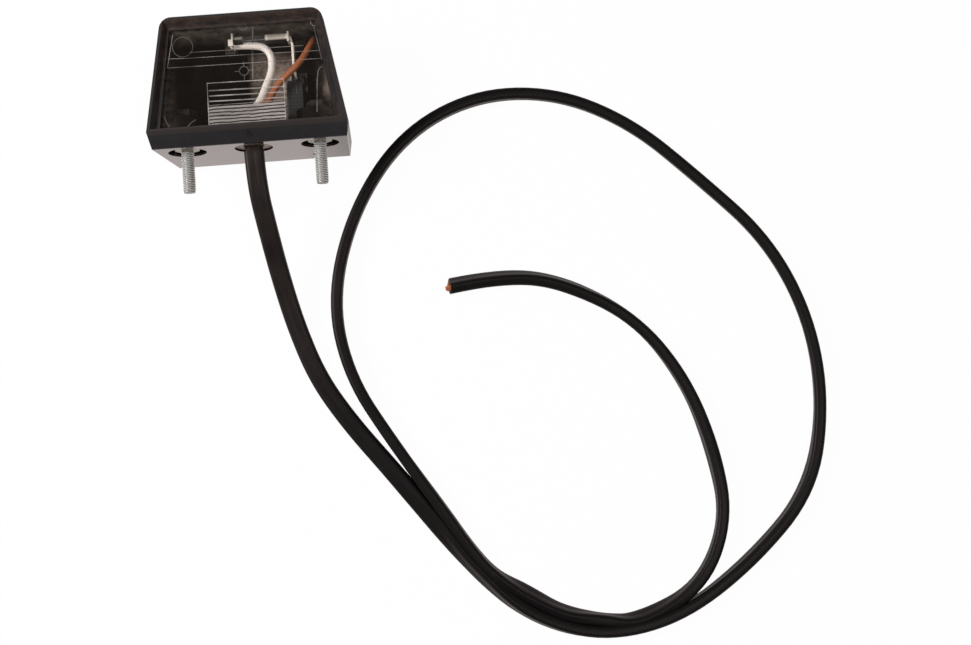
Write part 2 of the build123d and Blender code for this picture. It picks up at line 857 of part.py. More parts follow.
for name, pieces in lamp.items():
    if isinstance(pieces, list):
        save(name, [seat(piece) for piece in pieces])
    else:
        save(name, seat(pieces))

save("cable", tube("cable", route, cord_d))
save("cable_cores", cut_end(core_d, 0, core_end_length))
save("core_strands", cut_end(strand_d, core_end_length, strand_length))
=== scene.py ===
import math

import bmesh
import bpy
from mathutils import Matrix, Vector


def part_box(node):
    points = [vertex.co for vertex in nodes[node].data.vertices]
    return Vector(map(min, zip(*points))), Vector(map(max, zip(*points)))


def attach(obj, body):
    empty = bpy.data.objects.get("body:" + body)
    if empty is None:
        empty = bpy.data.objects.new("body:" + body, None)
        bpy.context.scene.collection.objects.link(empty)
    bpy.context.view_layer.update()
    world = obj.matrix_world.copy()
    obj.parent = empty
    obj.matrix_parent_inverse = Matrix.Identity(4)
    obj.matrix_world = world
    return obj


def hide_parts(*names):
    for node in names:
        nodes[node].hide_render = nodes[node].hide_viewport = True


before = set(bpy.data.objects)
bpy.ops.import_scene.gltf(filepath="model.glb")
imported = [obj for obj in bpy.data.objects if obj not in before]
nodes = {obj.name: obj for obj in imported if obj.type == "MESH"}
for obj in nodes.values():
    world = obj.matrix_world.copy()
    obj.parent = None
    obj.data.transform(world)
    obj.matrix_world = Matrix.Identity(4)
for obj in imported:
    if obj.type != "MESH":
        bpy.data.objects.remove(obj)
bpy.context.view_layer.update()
mm = 0.001
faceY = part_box("base_housing")[0].y  # the mounting face
axisZ = 29.5  # how far above the back the studs and the cable leave the face
sameSpot = 1e-6  # corners nearer to each other than this are one
sharpEdge = 35  # edges that turn by more degrees than this stay sharp
print("frame loaded,", len(nodes), "nodes")


def at(x, y, z):
    # a place on the lamp in millimetres: y from the mounting face, z from the back
    return Vector((x * mm, faceY + y * mm, z * mm))


class Wire:
    # one output socket, so that sums on values can be written plainly
    def __init__(self, shade, socket):
        self.shade = shade
        self.socket = socket

    def sum(self, operation, first, second=0.0):
        return self.shade.add("ShaderNodeMath", {"operation": operation}, {0: first, 1: second})

    def __add__(self, other):
        return self.sum("ADD", self, other)

    def __radd__(self, other):
        return self.sum("ADD", other, self)

    def __sub__(self, other):
        return self.sum("SUBTRACT", self, other)

    def __rsub__(self, other):
        return self.sum("SUBTRACT", other, self)

    def __mul__(self, other):
        return self.sum("MULTIPLY", self, other)

    def __rmul__(self, other):
        return self.sum("MULTIPLY", other, self)

    def __truediv__(self, other):
        return self.sum("DIVIDE", self, other)

    def __pow__(self, other):
        return self.sum("POWER", self, other)

    def size(self):
        return self.sum("ABSOLUTE", self)

    def wave(self):
        return self.sum("SINE", self)

    def over(self, other):
        return self.sum("GREATER_THAN", self, other)

    def under(self, other):
        return self.sum("LESS_THAN", self, other)

    def between(self, low, high):
        return self.over(low) * self.under(high)

    def largest(self, other):
        return self.sum("MAXIMUM", self, other)

    def smallest(self, other):
        return self.sum("MINIMUM", self, other)

    def ramp(self, low, high, out=(0.0, 1.0)):
        # a straight ramp from low to high, held at both ends
        sockets = {"Value": self, "From Min": low, "From Max": high, "To Min": out[0], "To Max": out[1]}
        return self.shade.add("ShaderNodeMapRange", {"clamp": True}, sockets)


class Shade:
    # a material and what makes its nodes
    def __init__(self, name):
        self.material = bpy.data.materials.new(name)
        self.material.use_nodes = True
        self.tree = self.material.node_tree
        self.tree.nodes.clear()

    def add(self, kind, settings=None, sockets=None, out=0):
        node = self.tree.nodes.new(kind)
        for name, value in (settings or {}).items():
            setattr(node, name, value)
        for key, value in (sockets or {}).items():
            if isinstance(value, Wire):
                self.tree.links.new(value.socket, node.inputs[key])
            elif isinstance(value, tuple) and len(value) == 3 and len(node.inputs[key].default_value) == 4:
                node.inputs[key].default_value = (*value, 1)
            else:
                node.inputs[key].default_value = value
        return Wire(self, node.outputs[out])

    def place(self):
        # object coordinates in millimetres
        plain = self.add("ShaderNodeTexCoord", out=3)
        return self.add("ShaderNodeVectorMath", {"operation": "SCALE"}, {0: plain, "Scale": 1000.0})

    def axes(self, place):
        # x, y and z on the lamp, with y from the mounting face
        x, y, z = (self.add("ShaderNodeSeparateXYZ", sockets={0: place}, out=i) for i in range(3))
        return x, y - faceY * 1000, z

    def noise(self, place, scale, detail, roughness=0.55, stretch=None):
        if stretch:
            place = self.add("ShaderNodeMapping", sockets={0: place, "Scale": stretch})
        sockets = {"Vector": place, "Scale": scale, "Detail": detail, "Roughness": roughness}
        return self.add("ShaderNodeTexNoise", sockets=sockets)

    def specks(self, place, scale, reach):
        # small round specks: 1 inside, 0 outside
        cells = self.add("ShaderNodeTexVoronoi", sockets={"Vector": place, "Scale": scale})
        return cells.under(reach)

    def mix(self, share, first, second):
        settings = {"data_type": "RGBA"}
        return self.add("ShaderNodeMix", settings, {0: share, 6: first, 7: second}, out=2)

    def gloss(self, least):
        # what a clear skin mirrors: little face on, more at a slant
        slant = self.add("ShaderNodeLayerWeight", sockets={"Blend": 0.5}, out=1)
        return slant ** 5.0 * (1 - least) + least

    def bump(self, height, distance, strength):
        sockets = {"Height": height, "Distance": distance, "Strength": strength}
        return self.add("ShaderNodeBump", sockets=sockets)

    def surface(self, **sockets):
        named = {key.replace("_", " "): value for key, value in sockets.items()}
        return self.add("ShaderNodeBsdfPrincipled", sockets=named)

    def seeThrough(self, colour):
        return self.add("ShaderNodeBsdfTransparent", sockets={"Color": colour})

    def finish(self, shader):
        output = self.tree.nodes.new("ShaderNodeOutputMaterial")
        self.tree.links.new(shader.socket, output.inputs["Surface"])
        return self.material

    def whole(self, **sockets):
        # the finished material, where it is one surface
        return self.finish(self.surface(**sockets))

    def blend(self, share, first, second):
        # the finished material, where it is two mixed shaders
        return self.finish(self.add("ShaderNodeMixShader", sockets={0: share, 1: first, 2: second}))


camera = {"place": (85.2, -141.74, 567.87), "tilt": 4.89, "turn": 4.286, "roll": 0.028, "lens": 49.81}
tilt, turn, roll = (math.radians(camera[k]) for k in ("tilt", "turn", "roll"))
right = Vector((math.cos(turn), -math.sin(turn), 0))
ahead = Vector((math.sin(turn), math.cos(turn), 0))
look = Vector((0, 0, -math.cos(tilt))) + ahead * math.sin(tilt)
up = right.cross(look)
cameraRight = right * math.cos(roll) + up * math.sin(roll)
cameraUp = up * math.cos(roll) - right * math.sin(roll)
cameraData = bpy.data.cameras.new("camera")
cameraData.lens = camera["lens"]
cameraData.sensor_width = 36
cameraData.clip_start = 0.01
cameraObject = bpy.data.objects.new("camera", cameraData)
bpy.context.scene.collection.objects.link(cameraObject)
turned = Matrix((cameraRight, cameraUp, -look)).transposed().to_4x4()
cameraObject.matrix_world = Matrix.Translation(Vector(camera["place"]) * mm) @ turned
bpy.context.scene.camera = cameraObject
bpy.context.scene.view_settings.view_transform = "Standard"

studio = {
    "lit": 0.2,  # what the sky gives to matt surfaces
    "low": 0.36, "high": 0.025,  # what gloss sees of it near the horizon and overhead
    "tint": (1, 0.9, 0.875),  # of everything seen in gloss
    "paper": 0.975, "mirroredPaper": 0.95,  # how white the floor looks, plainly and in gloss
    "reach": 6.0, "gap": 0.0002,  # the floor's half width, and how far below the lamp it lies
    "aim": (0.05, -0.05, 0),  # what both lights point at
}
world = bpy.data.worlds.new("studio")
bpy.context.scene.world = world
world.use_nodes = True
world.node_tree.nodes.clear()


class WorldShade(Shade):
    def __init__(self, owner):
        self.tree = owner.node_tree

    def finish(self, shader):
        output = self.tree.nodes.new("ShaderNodeOutputWorld")
        self.tree.links.new(shader.socket, output.inputs["Surface"])


sky = WorldShade(world)
seen = sky.add("ShaderNodeLightPath", out="Is Camera Ray")
mirrored = sky.add("ShaderNodeLightPath", out="Is Glossy Ray")
passed = sky.add("ShaderNodeLightPath", out="Is Transmission Ray")
direction = sky.add("ShaderNodeTexCoord", out=0)
height = sky.add("ShaderNodeSeparateXYZ", sockets={0: direction}, out=2)
gleam = height.ramp(0.5, 0.88, (studio["low"], studio["high"]))
level = mirrored * gleam + (1 - mirrored) * studio["lit"]
level = level.largest(seen).largest(passed)
tint = sky.mix(mirrored, (1, 1, 1), studio["tint"])
sky.finish(sky.add("ShaderNodeBackground", sockets={"Color": tint, "Strength": level}))


def areaLight(name, place, size, energy, colour=(1, 1, 1)):
    data = bpy.data.lights.new(name, "AREA")
    data.shape = "DISK"
    data.size = size
    data.energy = energy
    data.color = colour
    lamp = bpy.data.objects.new(name, data)
    bpy.context.scene.collection.objects.link(lamp)
    aim = Vector(studio["aim"]) - Vector(place)
    lamp.matrix_world = Matrix.Translation(place) @ aim.to_track_quat("-Z", "Y").to_matrix().to_4x4()


areaLight("key", place=(-0.72, 0.08, 0.76), size=0.36, energy=9.2)
areaLight("fill", place=(0.35, -0.3, 1.0), size=0.4, energy=2.6, colour=(1, 0.98, 0.96))

# a floor that looks white, with a trace of shadow, and is plain paper to the light that it sends on
reach = studio["reach"]
corners = [(-reach, -reach, 0), (reach, -reach, 0), (reach, reach, 0), (-reach, reach, 0)]
floorMesh = bpy.data.meshes.new("floor")
floorMesh.from_pydata(corners, [], [(0, 1, 2, 3)])
floor = bpy.data.objects.new("floor", floorMesh)
floor.location.z = -studio["gap"]
bpy.context.scene.collection.objects.link(floor)
paper = Shade("paper")
cameraRay = paper.add("ShaderNodeLightPath", out="Is Camera Ray")
mirrorRay = paper.add("ShaderNodeLightPath", out="Is Glossy Ray")
passedRay = paper.add("ShaderNodeLightPath", out="Is Transmission Ray")
whiteness = (cameraRay * studio["paper"]).largest(mirrorRay * studio["mirroredPaper"]).largest(passedRay)
plain = paper.surface(Base_Color=(0.9, 0.9, 0.9), Roughness=0.9, Specular_IOR_Level=0.0)
white = paper.mix(mirrorRay, (1, 1, 1), studio["tint"])
glow = paper.add("ShaderNodeEmission", sockets={"Color": white, "Strength": 1.0})
floorMesh.materials.append(paper.blend(whiteness, plain, glow))
print("camera, light and floor")


def piece(name, mesh, material, body, smooth=True):
    # a finished piece: its place is in its mesh, and it rides on a body
    thing = bpy.data.objects.new(name, mesh)
    bpy.context.scene.collection.objects.link(thing)
    if material:
        mesh.materials.clear()
        mesh.materials.append(material)
    if smooth:
        mesh.shade_smooth()
        mesh.set_sharp_from_angle(angle=math.radians(sharpEdge))
    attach(thing, body)
    return thing


def baked(thing):
    # the plain mesh of an object with its modifiers on
    bpy.context.view_layer.update()
    graph = bpy.context.evaluated_depsgraph_get()
    mesh = bpy.data.meshes.new_from_object(thing.evaluated_get(graph), depsgraph=graph)
    bpy.data.objects.remove(thing)
    return mesh


def mergedCopy(node):
    # a copy of a CAD node's faces, with the corners that they share made one
    body = bmesh.new()
    body.from_mesh(nodes[node].data)
    bmesh.ops.remove_doubles(body, verts=body.verts, dist=sameSpot)
    return body


def meshOf(name, body):
    mesh = bpy.data.meshes.new(name)
    body.to_mesh(mesh)
    body.free()
    return mesh


softening = {
    "flat": 1, "round": 40,  # in degrees: faces this level become one, and edges this steep are rounded
    "base_housing": 0.25, "hood_frame": 0.4, "bulb_glass": 0.08, "bulb_caps": 0.08,  # by how much
}


def softened(node):
    # a copy of a CAD node with its edges rounded a little
    body = mergedCopy(node)
    flat = math.radians(softening["flat"])
    bmesh.ops.dissolve_limit(body, angle_limit=flat, verts=body.verts, edges=body.edges)
    mesh = meshOf(node + "Soft", body)
    mesh.shade_smooth()
    copy = bpy.data.objects.new(node + "Soft", mesh)
    bpy.context.scene.collection.objects.link(copy)
    bevel = copy.modifiers.new("edges", "BEVEL")
    bevel.width = softening[node] * mm
    bevel.segments = 2
    bevel.limit_method = "ANGLE"
    bevel.angle_limit = math.radians(softening["round"])
    copy.modifiers.new("flat", "WEIGHTED_NORMAL").weight = 100
    return baked(copy)


def line(name, points):
    # where a smooth spline with these control points runs, as a list of places
    data = bpy.data.curves.new(name, "CURVE")
    data.dimensions = "3D"
    data.resolution_u = 8
    spline = data.splines.new("NURBS")
    spline.points.add(len(points) - 1)
    for point, place in zip(spline.points, points):
        point.co = (*place, 1)
    spline.order_u = 3
    spline.use_endpoint_u = True
    holder = bpy.data.objects.new(name, data)
    bpy.context.scene.collection.objects.link(holder)
    mesh = baked(holder)
    places = [v.co.copy() for v in mesh.vertices]
    bpy.data.meshes.remove(mesh)
    bpy.data.curves.remove(data)
    return places


def lengthsAlong(places):
    # the length run up to each place
    run = [0.0]
    for before, here in zip(places, places[1:]):
        run.append(run[-1] + (here - before).length)
    return run


def directions(places):
    ends = list(zip([places[0]] + places[:-1], places[1:] + [places[-1]]))
    return [(after - before).normalized() for before, after in ends]


def crossAxes(ahead, lean=0.0):
    # the ways across and through a flat strip that runs ahead and leans from lying flat
    aside = ahead.cross(Vector((0, 0, 1))).normalized()
    above = aside.cross(ahead)
    across = aside * math.cos(lean) + above * math.sin(lean)
    through = above * math.cos(lean) - aside * math.sin(lean)
    return across, through


def skin(rings, caps=True):
    # a mesh round rings of points, closed at both ends if it has caps
    body = bmesh.new()
    made = [[body.verts.new(p) for p in ring] for ring in rings]
    for low, high in zip(made, made[1:]):
        count = len(low)
        for i in range(count):
            body.faces.new((low[i], low[(i + 1) % count], high[(i + 1) % count], high[i]))
    if caps:
        body.faces.new(list(reversed(made[0])))
        body.faces.new(made[-1])
    bmesh.ops.recalc_face_normals(body, faces=body.faces)
    return meshOf("skin", body)


def roundTube(places, radius, sides, tip=1):
    # a round tube along places that aren't upright at first; tip is how wide its far end stays
    ways = directions(places)
    aside = ways[0].cross(Vector((0, 0, 1)))
    rings = []
    for number, (place, ahead) in enumerate(zip(places, ways)):
        aside = (aside - ahead * aside.dot(ahead)).normalized()
        above = aside.cross(ahead)
        wide = tip if number == len(places) - 1 else 1
        ring = []
        for i in range(sides):
            angle = 2 * math.pi * i / sides
            ring.append(place + radius * (aside * math.cos(angle) * wide + above * math.sin(angle) * wide))
        rings.append(ring)
    return skin(rings)


# x, y, z and how far the flat sheath leans from lying flat, in degrees
cableRoute = [
    (0, -19.25, 29.5, 0), (0.3, -33, 29.5, 0), (2.5, -50, 22.3, 0), (5, -69, 11, 0),
    (9.5, -90, 4.6, 0), (17, -112, 2.5, 0), (29.5, -132, 2.5, 0), (45, -152, 2.8, -6),
    (60.8, -173.4, 3.6, -28), (77.4, -196, 4.4, -58), (98.1, -216.7, 4.8, -76), (128, -227.2, 4.6, -84),
    (160.8, -221.1, 4.3, -92), (191.5, -200.8, 4.1, -96), (218.4, -174, 4.1, -94),
    (227.5, -138.2, 4.1, -82), (224.8, -101, 4.1, -78), (209.9, -66.7, 4.1, -79),
    (183.8, -39.1, 4.1, -80), (156.9, -13, 4.1, -79), (125, 2.8, 4.1, -81), (89.8, 3.7, 4.1, -85),
    (58.2, -12.2, 4.1, -87), (36, -42.9, 4.1, -87), (25.1, -79, 4.1, -88), (30, -112, 4.1, -87),
    (47.2, -142.2, 4.1, -86), (66.3, -172, 4.1, -91), (74.4, -185.6, 4.1, -93), (83.8, -198.4, 4.1, -97),
    (97.6, -207.5, 4.15, -122), (111.8, -216.6, 4.15, -112), (127.4, -220.1, 4.1, -94),
    (142.9, -222.6, 4.15, -119), (170, -209.7, 4.1, -94), (183, -183, 4.1, -89),
    (179.8, -154.3, 4.1, -97), (170.9, -124.4, 4.1, -90), (152.3, -96.6, 4.1, -82),
    (122.2, -78.6, 4.15, -70), (97, -74.2, 4.15, -61), (75.5, -77.1, 4.15, -57),
]
cable = {
    "width": 7.95, "thickness": 4.85, "corner": 1.65, "steps": 5,  # the facets of each round corner
    "groove": 0.16, "spread": 0.7,  # how deep the groove is, and how wide
    "length": 1.1626,  # in metres
    "cut": 0.6, "slant": (0.12, -0.34),  # how far past the route the cut is, and its slant both ways
    "edge": 0.1, "broken": 0.04,  # the cut's broken edge: its length, and the share by which it shrinks
}


def sheathSection():
    # round-cornered, with a shallow groove along the middle of each broad side
    corner = cable["corner"]
    wide, tall = cable["width"] / 2 - corner, cable["thickness"] / 2 - corner
    points = []
    for turn, (sideways, upwards) in enumerate(((1, 1), (-1, 1), (-1, -1), (1, -1))):
        for step in range(cable["steps"] + 1):
            angle = math.radians(90 * turn + 90 * step / cable["steps"])
            x = sideways * wide + corner * math.cos(angle)
            y = upwards * tall + corner * math.sin(angle)
            points.append((x, y))
        if turn in (0, 2):
            for share in (0.25, 0.38, 0.5, 0.62, 0.75):
                across = sideways * wide * (1 - 2 * share)
                sunk = cable["groove"] * math.exp(-(across / cable["spread"]) ** 2)
                points.append((across, upwards * (cable["thickness"] / 2 - sunk)))
    return points


def sheathRing(place, ahead, lean, inset=0.0, slant=(0, 0)):
    across, through = crossAxes(ahead, lean)
    small = 1 - inset
    ring = []
    for x, y in sheathSection():
        askew = ahead * (slant[0] * x + slant[1] * y)
        ring.append(place + (across * x * small + through * y * small + askew) * mm)
    return ring


def flatCable():
    points = [Vector(p[:3]) * mm for p in cableRoute]
    places = line("cableLine", points)
    tail = (places[-1] - places[-2]).normalized()
    run = lengthsAlong(places)
    # how far along the line each entry of the route pulls most, and its lean
    keys = []
    spans = len(points) - 2
    for number, entry in enumerate(cableRoute):
        share = min(max(number - 0.5, 0), spans) / spans
        keys.append((run[round(share * (len(places) - 1))], math.radians(entry[3])))
    rings = []
    spot = 0
    for place, ahead, length in zip(places, directions(places), run):
        while spot < len(keys) - 2 and keys[spot + 1][0] < length:
            spot += 1
        (startRun, startLean), (endRun, endLean) = keys[spot], keys[spot + 1]
        share = min(1, max(0, (length - startRun) / max(sameSpot, endRun - startRun)))
        share = share * share * (3 - 2 * share)
        rings.append(sheathRing(place, ahead, startLean + (endLean - startLean) * share))
    # the cut end slants a little, with its edge barely broken
    lean = keys[-1][1]
    end = places[-1] + tail * cable["cut"] * mm
    rings.append(sheathRing(end, tail, lean, 0, cable["slant"]))
    rings.append(sheathRing(end + tail * cable["edge"] * mm, tail, lean, cable["broken"], cable["slant"]))
    places.append(end)
    return skin(rings), places, tail, lean


copperCut = {
    "cores": ((-1.75, 1.85), (1.75, 0.3)),  # each core's place across, and how far its strands stand out
    "around": 6, "apart": 0.76,  # the strands round a core's middle one, and how far from it they are
    "radius": 0.39, "tip": 0.75,
    "hidden": 1.5, "length": 1.675,  # of a strand: what lies in the sheath, and all of it when cut level
    "twist": 0.12,
}


def copperEnds(end, tail, lean):
    # one core's strands stand out of the cut, the other's are cut off nearly level
    across, through = crossAxes(tail, lean)
    whole = bmesh.new()
    for side, proud in copperCut["cores"]:
        for number in range(copperCut["around"] + 1):
            angle = math.radians(360 / copperCut["around"] * number)
            middle = number == copperCut["around"]
            apart, twist = (0, 0) if middle else (copperCut["apart"], copperCut["twist"])
            aside = across * (side + apart * math.cos(angle)) + through * apart * math.sin(angle)
            start = end + (aside - tail * copperCut["hidden"]) * mm
            length = copperCut["length"] + proud * (0.86 + 0.14 * math.sin(2.4 * number + 1))  # uneven
            twisted = (across * -math.sin(angle) + through * math.cos(angle)) * twist
            route = [start + (tail * length + twisted) * mm * step for step in (0, 0.5, 0.94, 1)]
            strand = roundTube(route, copperCut["radius"] * mm, 8, copperCut["tip"])
            whole.from_mesh(strand)
            bpy.data.meshes.remove(strand)
    return meshOf("copperEnds", whole)


def rubber(name, colour, roughness, dust):
    shade = Shade(name)
    place = shade.place()
    cloudy = shade.noise(place, 0.09, 4.0)
    grain = shade.noise(place, 2.6, 3.0)
    dusty = shade.noise(place, 0.35, 5.0, 0.7).ramp(0.5, 0.78) * dust
    worn = shade.mix(cloudy, colour, tuple(c * 1.7 for c in colour))
    base = shade.mix(dusty, worn, (0.16, 0.115, 0.085))
    rough = roughness + cloudy * 0.14 + dusty * 0.3
    return shade.whole(Base_Color=base, Roughness=rough, Normal=shade.bump(grain, 0.00003, 0.5))


def sheathSkin():
    # satin black, with faint rubbed places, and dust near the lamp
    shade = Shade("cableSheath")
    place = shade.place()
    x, y, z = shade.axes(place)
    cloudy = shade.noise(place, 0.07, 4.0)
    rubbed = shade.noise(place, 0.16, 6.0, 0.75).ramp(0.6, 0.8)
    base = shade.mix(cloudy, (0.0038, 0.0032, 0.0034), (0.0062, 0.0052, 0.0053))
    dusty = (y.ramp(-20, -2) * 0.12 + y.ramp(-125, -60) * 0.15) * y.under(1) * x.ramp(15, 45, (1, 0))
    pale = (rubbed * 0.12).largest(dusty * cloudy.ramp(0.3, 0.7, (0.4, 1)))
    base = shade.mix(pale, base, (0.11, 0.082, 0.07))
    rough = 0.38 + cloudy * 0.12 + rubbed * 0.2
    normal = shade.bump(shade.noise(place, 1.1, 2.0), 0.00002, 0.25)
    return shade.whole(
        Base_Color=base, Roughness=rough, Normal=normal, Specular_IOR_Level=0.15,
        Specular_Tint=(1, 0.9, 0.88))


def metal(name, colour, roughness, tarnish, spots=(0.2, 0.13, 0.08), metallic=0.9):
    shade = Shade(name)
    place = shade.place()
    cloudy = shade.noise(place, 0.5, 4.0)
    fine = shade.noise(place, 3.5, 3.0)
    dull = cloudy.ramp(0.45, 0.75) * tarnish
    base = shade.mix(dull, colour, spots)
    rough = roughness + fine * 0.12 + dull * 0.4
    normal = shade.bump(fine, 0.00002, 0.5)
    return shade.whole(Base_Color=base, Roughness=rough, Metallic=metallic, Normal=normal)


sheathMesh, cableLine, cableTail, cableLean = flatCable()
cableSkin = sheathSkin()
sheath = piece("cableSheath", sheathMesh, cableSkin, "base")
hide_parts("cable")
copperMesh = copperEnds(cableLine[-1], cableTail, cableLean)
copperSkin = metal("copper", (0.6, 0.2, 0.075), 0.4, 0.3, metallic=0.6)
copper = piece("copperEnds", copperMesh, copperSkin, "base")
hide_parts("cable_cores", "core_strands")
print("free cable")


# the case's walls and hollow, as its finishes need them
case = {
    "inside": 38.85, "outside": 39.4,  # half its width at the face
    "narrowing": 0.148,  # what that loses with each millimetre from the face
    "lean": 2.6, "fade": 15,  # how far the walls lean in at the back, and the height that takes 1 off it
    "near": 1.1, "far": 50.9, "floor": 1.1,  # where the hollow ends
}


def blackBase():
    # glossy black outside, dull and dusty inside, with painted light on the floor and painted shade higher
    # up
    shade = Shade("baseBlack")
    place = shade.place()
    x, y, z = shade.axes(place)
    lean = case["lean"] - z / case["fade"]
    within = x.size().under(case["inside"] - y * case["narrowing"] - lean) * y.over(case["near"])
    within = within * y.under(case["far"] - lean) * z.over(case["floor"])
    cloudy = shade.noise(place, 0.05, 4.0)
    grain = shade.noise(place, 1.9, 4.0, 0.65)
    film = shade.noise(place, 0.07, 5.0, 0.6).ramp(0.3, 0.75, (0.25, 0.5))
    outer = shade.mix(film, (0.016, 0.0135, 0.013), (0.058, 0.044, 0.041))
    glossy = shade.surface(
        Base_Color=outer, Roughness=0.1 + cloudy * 0.1, IOR=1.68, Coat_Weight=0.16, Coat_Roughness=0.12,
        Normal=shade.bump(grain, 0.00002, 0.3))
    floorDust = shade.noise(place, 0.11, 7.0, 0.72).ramp(0.45, 0.8)
    drift = shade.noise(place, 0.06, 4.0).over(0.48)
    specks = shade.specks(place, 1.3, 0.14) * drift
    # painted light on tan dust on the floor, where light falls in through the lens: a lit patch in the
    # middle, and a lit strip along the right wall
    litPatch = x.ramp(-5, -2) * x.ramp(14.5, 16.5, (1, 0)) * y.ramp(20, 33, (0.35, 1))
    litPatch = litPatch * y.over(13) * y.ramp(45, 48, (1, 0))
    uneven = shade.noise(place, 0.5, 4.0, 0.6).ramp(0.3, 0.65, (0.3, 1.0))
    far = y.ramp(30, 33)
    litStrip = (x - far * 0.9).ramp(26.2, 28.6) * (x + far * 1.1).ramp(29.8, 30.6, (1, 0))
    litStrip = litStrip * y.over(8) * y.ramp(44, 47, (1, 0))
    litDust = (litPatch * uneven + litStrip * (0.75 - far * 0.25)) * z.under(2.6)
    # the dust thins to a quarter higher up inside, which is also painted shade on the raised faces there
    dusty = (floorDust * 0.09 + specks * 0.35).smallest(0.8) * z.ramp(4, 8, (1, 0.25))
    inner = shade.mix(dusty, (0.0014, 0.0011, 0.0014), (0.13, 0.095, 0.075))
    # the painted light on the floor goes over the inner colour
    inner = shade.mix(litDust, inner, (0.66, 0.52, 0.43))
    dull = shade.surface(
        Base_Color=inner, Roughness=0.7, Specular_IOR_Level=0.08, Normal=shade.bump(grain, 0.00004, 0.6))
    # outside, the side walls are half dull, the right end a little, and the cable's recess nearly all
    side = x.size().over(case["outside"] - y * case["narrowing"] - lean) * 0.5
    side = side.largest(x.ramp(18, 36, (0, 0.3)))
    recess = y.between(0.015, case["near"]) * x.size().under(7.75) * z.over(21) * 0.92
    return shade.blend(within.largest(side).largest(recess), glossy, dull)


# the hood's sunk tray round the lens, as its finish needs it
tray = {
    "half": 38.6, "narrowing": 0.15,  # half its width at the face, and what that loses with each millimetre
    "near": 7.0, "far": 51.0, "low": 41.5, "rim": 43.2,
    "ledge": 8.6, "wall": 5,  # how far the near ledge goes, and how wide the scraped sides are
}


def hoodSkin():
    # matt black; dust lies on the ledge and the sloping inner walls, and the sunk tray is painted darker as
    # shade
    shade = Shade("hoodBlack")
    place = shade.place()
    x, y, z = shade.axes(place)
    cloudy = shade.noise(place, 0.05, 4.0)
    grain = shade.noise(place, 1.9, 4.0, 0.65)
    halfWidth = tray["half"] - y * tray["narrowing"]
    inTray = x.size().under(halfWidth) * y.between(tray["near"], tray["far"]) * z.over(tray["low"])
    streak = shade.noise(place, 0.5, 5.0, 0.7, (0.4, 1.0, 1.0)).ramp(0.4, 0.75)
    scraped = shade.noise(place, 1.0, 3.0, 0.6, (1.3, 0.06, 1.0)).ramp(0.5, 0.72)
    scraped = scraped * inTray * x.size().over(halfWidth - tray["wall"])
    drift = shade.noise(place, 0.2, 6.0, 0.68).ramp(0.5, 0.8)
    farther = y.ramp(25, 48, (0.1, 0.8))
    ledge = inTray * y.under(tray["ledge"])
    dusty = drift * 0.06 + z.over(tray["rim"]) * 0.1 + inTray * farther * (streak * 0.5 + 0.05)
    dusty = (dusty + ledge * streak * 0.3 + scraped * 0.22).smallest(0.7)
    base = shade.mix(cloudy, (0.0095, 0.0089, 0.0104), (0.0165, 0.0154, 0.0174))
    # painted shade: the sunk tray is darker
    base = shade.mix(inTray * 0.45, base, (0.0035, 0.003, 0.003))
    base = shade.mix(dusty, base, (0.13, 0.075, 0.048))
    rough = 0.5 + cloudy * 0.12 + dusty * 0.3
    normal = shade.bump(grain, 0.00004, 0.6)
    return shade.whole(Base_Color=base, Roughness=rough, Normal=normal, Specular_IOR_Level=0.26)


def plastic(name, colour, roughness, dust, subsurface=0.0):
    shade = Shade(name)
    place = shade.place()
    cloudy = shade.noise(place, 0.3, 4.0)
    fine = shade.noise(place, 2.8, 3.0)
    dusty = shade.noise(place, 0.45, 5.0, 0.7).ramp(0.5, 0.8) * dust
    clean = shade.mix(cloudy, tuple(c * 0.8 for c in colour), colour)
    base = shade.mix(dusty, clean, (0.2, 0.14, 0.09))
    rough = roughness + fine * 0.1 + dusty * 0.3
    normal = shade.bump(fine, 0.00003, 0.4)
    return shade.whole(Base_Color=base, Roughness=rough, Normal=normal, Subsurface_Weight=subsurface)


def carrierPlastic():
    # dark grey, with painted shade in bands between fine moulded ribs across the carrier, and a foot that
    # is darker left, browner right
    shade = Shade("carrierPlastic")
    place = shade.place()
    x, y, z = shade.axes(place)
    cloudy = shade.noise(place, 0.4, 4.0, 0.65)
    across = y + shade.noise(place, 0.3, 2.0) * 0.8
    # dark bands of painted shade between the ribs
    ribShade = (across * 4.2).wave().ramp(0.1, 0.9) * x.ramp(14.5, 15.5)
    scratched = shade.noise(place, 2.4, 4.0, 0.7).ramp(0.6, 0.72)
    base = shade.mix(cloudy, (0.014, 0.0135, 0.016), (0.03, 0.029, 0.033))
    base = shade.mix(ribShade * 0.5, base, (0.006, 0.006, 0.007))
    base = shade.mix(scratched * 0.25, base, (0.14, 0.12, 0.11))
    foot = shade.mix(x.over(20), (0.006, 0.005, 0.005), (0.05, 0.035, 0.025))
    base = shade.mix(z.under(6), base, foot)
    return shade.whole(Base_Color=base, Roughness=0.55 + cloudy * 0.1, Specular_IOR_Level=0.3)


# the part of the lens that shows the prism's fine ribs; its far strip, past solid, is open between them
ribZone = {"half": 15.4, "near": 7.4, "solid": 15.2, "far": 15.9}


